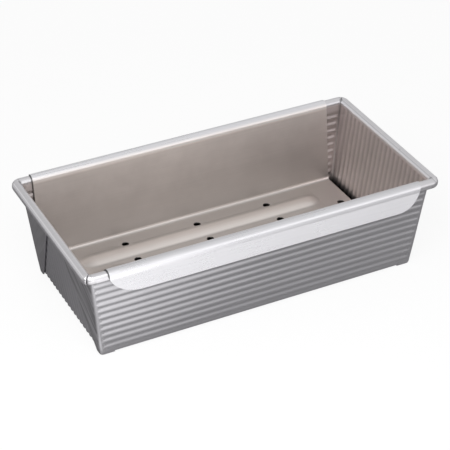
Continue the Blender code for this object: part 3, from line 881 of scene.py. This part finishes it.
class Nodes:
    """Short hand for adding and joining a material's nodes."""

    def __init__(self, tree):
        self.tree = tree

    def feed(self, socket, value):
        """Links another socket to a socket, or sets a constant on it."""
        if isinstance(value, bpy.types.NodeSocket):
            self.tree.links.new(value, socket)
        else:
            socket.default_value = value

    def add(self, kind, inputs=None, **settings):
        """New node with its settings and its inputs, by name or number."""
        node = self.tree.nodes.new(kind)
        for name, value in settings.items():
            setattr(node, name, value)
        for name, value in (inputs or {}).items():
            self.feed(node.inputs[name], value)
        return node

    def axes(self, coords):
        """The x, y and z of coordinates."""
        return tuple(self.add("ShaderNodeSeparateXYZ", {0: coords}).outputs)

    def noise(self, coords, scale, detail, stretch=(1, 1, 1)):
        """Noise with its scale per metre, stretched along an axis."""
        placed = self.add("ShaderNodeMapping", {"Vector": coords, "Scale": stretch})
        inputs = {"Vector": placed.outputs["Vector"], "Scale": scale, "Detail": detail}
        return self.add("ShaderNodeTexNoise", inputs).outputs["Fac"]

    def mapped(self, value, low, high, new_low, new_high, way="LINEAR"):
        """A value's range mapped to a new one, and held at its ends."""
        made = self.add(
            "ShaderNodeMapRange",
            {"Value": value, "From Min": low, "From Max": high, "To Min": new_low, "To Max": new_high},
            interpolation_type=way,
        )
        return made.outputs["Result"]

    def mix(self, factor, first, second):
        """The first colour at factor 0 and the second at 1."""
        made = self.add("ShaderNodeMix", {0: factor, 6: first, 7: second}, data_type="RGBA")
        return made.outputs[2]

    def math(self, operation, *values):
        """One step of arithmetic."""
        return self.add("ShaderNodeMath", dict(enumerate(values)), operation=operation).outputs[0]

    def vector(self, operation, *values):
        """One step of vector arithmetic."""
        return self.add("ShaderNodeVectorMath", dict(enumerate(values)), operation=operation).outputs

    def unsigned(self, value):
        """A value without its sign."""
        return self.math("ABSOLUTE", value)

    def band(self, value, middle, inner, outer, amount):
        """An amount within the inner distance from a middle, falling to 0 at the outer one."""
        away = self.unsigned(self.math("SUBTRACT", value, middle))
        return self.mapped(away, inner, outer, amount, 0.0)

    def within(self, value, limit):
        """1 where a value is under a limit either side of 0, else 0."""
        return self.math("LESS_THAN", self.unsigned(value), limit)

    def beyond(self, value, limit):
        """1 where a value is over a limit either side of 0, else 0."""
        return self.math("GREATER_THAN", self.unsigned(value), limit)

    def product(self, first, *others):
        """Values multiplied one after another."""
        for other in others:
            first = self.math("MULTIPLY", first, other)
        return first

    def lighter(self, *shares):
        """1 and the product of shares."""
        return self.math("ADD", self.product(*shares), 1.0)

    def duller(self, *shares):
        """1 less the product of shares."""
        return self.math("SUBTRACT", 1.0, self.product(*shares))


def lip_share(nodes, coords):
    """0 in the trough and 1 on the lips, which are cleaner and painted lighter as a highlight."""
    _, y, _ = nodes.axes(coords)
    return nodes.mapped(nodes.unsigned(y), LIP_BRIGHT_FROM, LIP_BRIGHT_TO, 0.0, 1.0)


def trough_share(nodes, coords):
    """1 in the trough and 0 on the lips."""
    return nodes.duller(lip_share(nodes, coords))


def rim_share(nodes, coords):
    """0 on the pan's walls and 1 on its rolled edge, which is cleaner and painted lighter as a
    highlight.
    """
    x, y, z = nodes.axes(coords)
    share = nodes.mapped(z, RIM_BRIGHT_FROM, RIM_BRIGHT_TO, 0.0, 1.0)
    for place, half in ((x, RIM_LENGTH / 2), (y, RIM_WIDTH / 2)):
        out = nodes.mapped(nodes.unsigned(place), half - RIM_BRIGHT_REACH, half, 0.0, 1.0)
        share = nodes.math("MAXIMUM", share, out)
    return share


def rim_angle(nodes, place, half, height):
    """Degrees round the wire of the rim that stands half a length away from the middle."""
    up = nodes.math("SUBTRACT", height, RIM_HEIGHT)
    out = nodes.math("SUBTRACT", nodes.unsigned(place), half)
    return nodes.math("DEGREES", nodes.math("ARCTAN2", up, out))


def rim_shade_and_highlights(nodes, coords):
    """How light the pan's roll is round its wire: painted shade in the faint lines pressed along it,
    painted highlights beside them, and painted shade low on the long sides.
    """
    x, y, z = nodes.axes(coords)
    angles = {
        "X": rim_angle(nodes, x, RIM_LENGTH / 2, z),
        "Y": rim_angle(nodes, y, RIM_WIDTH / 2, z),
    }
    light = 1.0
    for axis, middle, half, amount in RIM_SHADE_AND_HIGHLIGHTS:
        light = nodes.math("ADD", nodes.band(angles[axis], middle, 0.0, half, amount), light)
    return light


def crease_shade(nodes, coords):
    """How light the pan's inside is towards its folded corners: painted shade in the creases."""
    x, y, z = nodes.axes(coords)
    apart = []
    for place, line in ((x, END), (y, SIDE)):
        corner = nodes.product(nodes.math("SUBTRACT", z, line.foot_up), tan(line.lean))
        reach = nodes.math("SUBTRACT", nodes.unsigned(place), line.foot_out)
        away = nodes.math("SUBTRACT", reach, corner)
        apart.append(nodes.product(away, away))
    distance = nodes.math("SQRT", nodes.math("ADD", *apart))
    return nodes.mapped(distance, 0.0, CREASE_REACH, 1.0 - CREASE_SHADE_DEPTH, 1.0)


def top_strip_highlight(nodes, coords):
    """How light the pan's inside is above the ribs of its long walls: a painted highlight."""
    x, _, z = nodes.axes(coords)
    strip = nodes.band(z, TOP_STRIP_HEIGHT, *TOP_STRIP_HALF, TOP_STRIP_HIGHLIGHT)
    return nodes.lighter(strip, nodes.within(x, TOP_STRIP_END))


def end_rib_shade(nodes, coords):
    """How light the insides of the end walls are: painted shade across their upright ribs, growing
    towards the front.
    """
    x, y, z = nodes.axes(coords)
    reach = nodes.unsigned(x)
    amount = nodes.mapped(reach, *END_RIBS, 0.0, END_RIB_SHADE)
    inside = nodes.math("LESS_THAN", reach, RIM_LENGTH / 2 - CURL_RADIUS)
    below = nodes.math("LESS_THAN", z, RIM_BRIGHT_FROM)
    wave = nodes.math("COSINE", nodes.product(y, 2 * pi / RIB_PITCH))
    painted_shade = nodes.mapped(y, *END_SHADE_SPAN, END_SHADE_DEPTH / END_RIB_SHADE, 0.0)
    return nodes.duller(nodes.math("ADD", wave, painted_shade), amount, inside, below)


def edge_shadow_line(nodes, coords):
    """How light the insert is: a painted shadow line along the left edge of its walls and lips, for the
    gap beside the pan.
    """
    x, y, _ = nodes.axes(coords)
    left_end = INSERT_SHIFT - INSERT_LENGTH / 2 - INSERT_LEFT_EXTRA
    edge = nodes.math("ADD", nodes.product(y, INSERT_SHEAR), left_end)
    line = nodes.band(x, edge, *EDGE_SHADOW_HALF, EDGE_SHADOW_DEPTH)
    return nodes.duller(line, nodes.beyond(y, EDGE_SHADOW_FROM))


def wall_painted_light(nodes, coords):
    """How light the insert is up its walls: painted light, lighter towards the lips."""
    _, _, z = nodes.axes(coords)
    lightened = nodes.mapped(z, *WALL_BRIGHT, 0.0, WALL_PAINTED_LIGHT)
    return nodes.lighter(lightened, trough_share(nodes, coords))


def ridge_share(nodes, x):
    """1 along the insert's ridges, falling to 0 at their ends."""
    return nodes.mapped(nodes.unsigned(x), *RIDGE_BRIGHT_ENDS, 1.0, 0.0)


def ridge_highlight(nodes, coords):
    """How light the insert is up its ridges: a painted highlight along them."""
    x, y, z = nodes.axes(coords)
    painted_highlight = nodes.mapped(z, *RIDGE_BRIGHT, 0.0, RIDGE_HIGHLIGHT)
    return nodes.lighter(painted_highlight, ridge_share(nodes, x), nodes.within(y, RIDGE_BRIGHT_REACH))


def foot_shade(nodes, coords):
    """How light the insert is across its ridges: painted shade in bands along them."""
    x, y, _ = nodes.axes(coords)
    across = nodes.unsigned(y)
    painted_shade = 0.0
    for middle in RIDGE_CENTRES:
        for out, half, depth in FOOT_SHADE_BANDS:
            painted_shade = nodes.math("MAXIMUM", nodes.band(across, middle + out, 0.0, half, depth), painted_shade)
    return nodes.duller(painted_shade, ridge_share(nodes, x))


def fillet_highlight(nodes, coords):
    """How light the insert is along the fillets between its floor and its walls: a painted highlight
    line.
    """
    _, y, z = nodes.axes(coords)
    line = nodes.band(z, FILLET_BRIGHT_HEIGHT, *FILLET_BRIGHT_HALF, FILLET_HIGHLIGHT)
    return nodes.lighter(line, nodes.beyond(y, RIDGE_BRIGHT_REACH))


def neck_highlight(nodes, coords):
    """How light the insert is where its back wall turns over into the lip: a painted highlight."""
    _, y, z = nodes.axes(coords)
    line = nodes.band(z, NECK_HEIGHT, 0.0, NECK_HALF, NECK_HIGHLIGHT)
    back = nodes.math("GREATER_THAN", y, RIDGE_BRIGHT_REACH)
    inside = nodes.math("LESS_THAN", y, NECK_OUT)
    return nodes.lighter(line, back, inside)


def left_shade(nodes, coords):
    """How light the insert's trough is: painted shade at the left of its back."""
    x, y, _ = nodes.axes(coords)
    painted_shade = nodes.mapped(x, *LEFT_SHADE_SPAN, LEFT_SHADE_DEPTH, 0.0)
    back = nodes.mapped(y, *BACK_SHADE_SPAN, 0.0, 1.0)
    return nodes.duller(painted_shade, back, trough_share(nodes, coords))


def lip_shade_and_highlights(nodes, coords):
    """How light the front lip is round the rim that it hangs over: painted shade over its top and
    painted highlights on its front.
    """
    _, y, z = nodes.axes(coords)
    angle = rim_angle(nodes, y, RIM_WIDTH / 2, z)
    light = 0.0
    for middle, half, amount in LIP_SHADE_AND_HIGHLIGHTS:
        light = nodes.math("ADD", nodes.band(angle, middle, 0.0, half, amount), light)
    return nodes.lighter(light, nodes.math("LESS_THAN", y, -LIP_BRIGHT_FROM))


def ear_shade(nodes, coords):
    """How light the folded ears are: painted shade on the flat, and painted light and shade in slanting
    creases.
    """
    normal_x, _, _ = nodes.axes(nodes.add("ShaderNodeTexCoord").outputs["Normal"])
    flat = nodes.mapped(nodes.unsigned(normal_x), *EAR_FLAT, 0.0, 1.0)
    _, y, z = nodes.axes(coords)
    out = nodes.unsigned(y)
    slope = nodes.product(z, EAR_CREASE_SLOPE)
    along, across = nodes.math("SUBTRACT", out, slope), nodes.math("ADD", out, slope)
    placed = nodes.add("ShaderNodeCombineXYZ", {"X": across, "Y": along}).outputs["Vector"]
    stretch = (1.0, EAR_CREASE_STRETCH, 1.0)
    creases = nodes.noise(placed, EAR_CREASE_SCALE, detail=2.0, stretch=stretch)
    wave = nodes.mapped(creases, *EAR_CREASE_RANGE, 1.0, -1.0)
    front = nodes.math("LESS_THAN", y, 0.0)
    amount = nodes.mapped(front, 0.0, 1.0, EAR_CREASE_BACK, EAR_CREASE_FRONT)
    shade = nodes.math("ADD", nodes.product(wave, amount), EAR_SHADE_DEPTH)
    return nodes.duller(shade, flat)


def sheet_metal(name, colours, roughness, streaky, grain=GRAIN_SCALE, along=0, lightened=None,
                bottom=None, lights=(), metallic=1.0):
    """Rolled sheet metal: brushed streaks along an axis, soft blotches and a fine grain.

    Streaky is how much lighter and darker the streaks are.
    The share that is lightened, its colour and how much smoother it is: the metal there is cleaner and
    painted lighter as a highlight.
    Bottom is a colour of painted shade and the heights over which it fades.
    Lights are factors of painted light and shade on the colour.
    """
    material = bpy.data.materials.new(name)
    material.use_nodes = True
    nodes = Nodes(material.node_tree)
    shader = material.node_tree.nodes["Principled BSDF"]
    shader.inputs["Metallic"].default_value = metallic
    coords = nodes.add("ShaderNodeTexCoord").outputs["Object"]
    stretch = tuple(STREAK_STRETCH if axis == along else 1.0 for axis in range(3))
    streaks = nodes.noise(coords, STREAK_SCALE, detail=5.0, stretch=stretch)
    blotches = nodes.noise(coords, BLOTCH_SCALE, detail=3.0)
    fine = nodes.noise(coords, grain, detail=2.0)
    base = nodes.mix(nodes.mapped(blotches, *BLOTCH_RANGE, 0.0, 1.0), *colours)
    rough = nodes.math(
        "ADD",
        nodes.mapped(streaks, *STREAK_ROUGH_RANGE, *(roughness + more for more in STREAK_ROUGHNESS)),
        nodes.mapped(blotches, *BLOTCH_RANGE, *BLOTCH_ROUGHNESS),
    )
    # Painted shade towards the bottom
    if bottom:
        bottom_colour, heights = bottom
        _, _, z = nodes.axes(coords)
        base = nodes.mix(nodes.mapped(z, *heights, 0.0, 1.0), bottom_colour, base)
    # Cleaner parts, also painted lighter as a highlight
    if lightened:
        share_of, lightened_colour, smoother = lightened
        share = share_of(nodes, coords)
        base = nodes.mix(share, base, lightened_colour)
        rough = nodes.math("SUBTRACT", rough, nodes.product(share, smoother))
    shade = nodes.mapped(streaks, *STREAK_RANGE, 1.0 - streaky, 1.0 + streaky)
    # Painted light and shade from each of the lights
    shade = nodes.product(shade, *(light(nodes, coords) for light in lights))
    nodes.feed(shader.inputs["Base Color"], nodes.vector("MULTIPLY", base, shade)["Vector"])
    nodes.feed(shader.inputs["Roughness"], rough)
    streak_height = nodes.product(streaks, STREAK_HEIGHT)
    height = nodes.math("ADD", streak_height, nodes.product(fine, GRAIN_HEIGHT))
    bump = nodes.add("ShaderNodeBump", {**GRAIN_BUMP, "Height": height})
    waves = nodes.noise(coords, WAVE_SCALE, detail=1.0)
    wavy = nodes.add("ShaderNodeBump", {**WAVE_BUMP, "Height": waves, "Normal": bump.outputs["Normal"]})
    nodes.feed(shader.inputs["Normal"], wavy.outputs["Normal"])
    return material


def floor_pools(nodes):
    """How white the floor glows in the metal: soft pools of painted light round given places, and
    painted shadow where one is negative.
    """
    place = nodes.add("ShaderNodeTexCoord").outputs["Object"]
    level = FLOOR_GLOSSY_WHITE
    for (x, y), (half_x, half_y), amount in FLOOR_POOLS:
        away = nodes.vector("SUBTRACT", place, (x, y, 0.0))["Vector"]
        scaled = nodes.vector("DIVIDE", away, (half_x, half_y, 1.0))["Vector"]
        distance = nodes.vector("LENGTH", scaled)["Value"]
        level = nodes.math("ADD", nodes.mapped(distance, 1.0, 0.0, 0.0, amount, "SMOOTHSTEP"), level)
    return nodes.math("MAXIMUM", level, 0.0)


def stage_floor():
    """Plain pale floor: white to the camera with the object's soft shadow kept."""
    material = bpy.data.materials.new("stage_floor")
    material.use_nodes = True
    material.node_tree.nodes.clear()
    nodes = Nodes(material.node_tree)
    path = nodes.add("ShaderNodeLightPath").outputs
    colour = nodes.mix(path["Is Camera Ray"], FLOOR_COLOUR, FLOOR_SEEN_COLOUR)
    lit = nodes.add("ShaderNodeBsdfDiffuse", {"Color": colour})
    white = nodes.add("ShaderNodeEmission", {"Color": WHITE, "Strength": 1.0})
    camera = nodes.product(path["Is Camera Ray"], FLOOR_CAMERA_WHITE)
    seen = nodes.math("MAXIMUM", camera, path["Is Transmission Ray"])
    mixed = nodes.add("ShaderNodeMixShader", {0: seen, 1: lit.outputs[0], 2: white.outputs[0]})
    # The floor glows for the metal's reflections alone: painted light in pools
    glossy = nodes.product(path["Is Glossy Ray"], floor_pools(nodes))
    shine = nodes.add("ShaderNodeEmission", {"Color": WHITE, "Strength": glossy})
    both = nodes.add("ShaderNodeAddShader", {0: mixed.outputs[0], 1: shine.outputs[0]})
    nodes.add("ShaderNodeOutputMaterial", {"Surface": both.outputs[0]})
    bm = bmesh.new()
    bmesh.ops.create_grid(bm, x_segments=1, y_segments=1, size=FLOOR_HALF)
    floor = thing_from(bm, "stage_floor", [material])
    floor.location.z = -FLOOR_DROP


def lobe(nodes, direction, aim, width):
    """1 where a direction of the world is near an aim, falling to 0 at a width in radians."""
    dot = nodes.vector("DOT_PRODUCT", direction, tuple(Vector(aim).normalized()))["Value"]
    return nodes.mapped(dot, cos(width), 1.0, 0.0, 1.0, "SMOOTHSTEP")


def studio_world():
    """White behind the object, and a soft graded studio round it."""
    world = bpy.data.worlds.new("studio")
    bpy.context.scene.world = world
    world.use_nodes = True
    world.node_tree.nodes.clear()
    nodes = Nodes(world.node_tree)
    direction = nodes.add("ShaderNodeTexCoord").outputs["Generated"]
    level = SKY_LEVEL
    for aim, width, amount in SKY_LOBES:
        level = nodes.math("ADD", nodes.product(lobe(nodes, direction, aim, width), amount), level)
    path = nodes.add("ShaderNodeLightPath").outputs
    dimmed = nodes.mapped(path["Is Diffuse Ray"], 0.0, 1.0, 1.0, SKY_ON_FLOOR_SHARE)
    level = nodes.product(level, dimmed)
    strength = nodes.add("ShaderNodeMix", {0: path["Is Camera Ray"], 2: level, 3: 1.0})
    background = nodes.add("ShaderNodeBackground", {"Color": WHITE, "Strength": strength.outputs[0]})
    nodes.add("ShaderNodeOutputWorld", {"Surface": background.outputs[0]})


def softbox(name, place, aim, size_x, size_y, power):
    """Soft area light at a place, aimed at a point, hidden from the camera."""
    light = bpy.data.lights.new(name, "AREA")
    light.shape = "RECTANGLE"
    light.size = size_x
    light.size_y = size_y
    light.energy = power
    thing = linked(name, light)
    thing.location = place
    way = Vector(aim) - Vector(place)
    thing.rotation_euler = way.to_track_quat("-Z", "Y").to_euler()
    thing.visible_camera = False


def place_camera():
    """Camera at the photograph's viewing angle."""
    back = Vector((sin(VIEW_AZIMUTH) * cos(VIEW_ELEVATION),
                   -cos(VIEW_AZIMUTH) * cos(VIEW_ELEVATION), sin(VIEW_ELEVATION)))
    right = Vector((cos(VIEW_AZIMUTH), sin(VIEW_AZIMUTH), 0.0))
    up = back.cross(right)
    target = right * VIEW_RIGHT + up * VIEW_UP + Vector((0.0, 0.0, RIM_HEIGHT))
    turned_right = right * cos(VIEW_ROLL) + up * sin(VIEW_ROLL)
    turned_up = up * cos(VIEW_ROLL) - right * sin(VIEW_ROLL)
    data = bpy.data.cameras.new("camera")
    data.lens = VIEW_LENS
    data.sensor_width = SENSOR_WIDTH
    camera = linked("camera", data)
    axes = Matrix((turned_right, turned_up, back)).transposed().to_4x4()
    camera.matrix_world = Matrix.Translation(target + back * VIEW_DISTANCE) @ axes
    bpy.context.scene.camera = camera


def build():
    """Dresses the frame and sets the stage."""
    place_camera()
    outer = sheet_metal("pan_outside", PAN_OUTSIDE, roughness=0.38, streaky=0.04)
    # Inside of the pan: painted highlight on the rolled edge, painted shade at the bottom, and painted
    # light and shade from the lights
    inner = sheet_metal(
        "pan_inside", PAN_INSIDE, roughness=0.45, streaky=0.04,
        lightened=(rim_share, PAN_CLEAN_LIT, 0.13), bottom=(PAN_BOTTOM, PAN_SHADE_HEIGHTS),
        lights=(rim_shade_and_highlights, crease_shade, top_strip_highlight, end_rib_shade),
    )
    wire = sheet_metal("rim_wire", WIRE, roughness=0.35, streaky=0.03)
    # Insert: painted highlight on the lips, painted shade at the bottom, and painted light and shade
    # from the lights
    bright = sheet_metal(
        "insert_bright", INSERT, roughness=0.40, streaky=0.025, grain=INSERT_GRAIN_SCALE,
        lightened=(lip_share, INSERT_CLEAN_LIT, 0.11), bottom=(INSERT_BOTTOM, INSERT_SHADE_HEIGHTS),
        lights=(wall_painted_light, ridge_highlight, foot_shade, fillet_highlight, neck_highlight, left_shade,
                lip_shade_and_highlights, edge_shadow_line),
        metallic=0.90,
    )
    # Dark cut edges: painted shade
    shaded_cut_edge = sheet_metal("shaded_cut_edge", SHADED_CUT_EDGE, roughness=0.45, streaky=0.05, along=2)
    # Folded ears: painted shade, with creases of painted light and shade
    ear = sheet_metal("folded_ear", PAN_OUTSIDE, roughness=0.38, streaky=0.04, lights=(ear_shade,))
    pan_sheet(outer, inner)
    folded_ears(ear)
    wire_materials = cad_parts["rim_wire"].data.materials
    wire_materials.clear()
    wire_materials.append(wire)
    insert_sheet(bright, shaded_cut_edge)
    stage_floor()
    studio_world()
    softbox(*LAMP)
    bpy.context.scene.view_settings.view_transform = "Standard"


build()
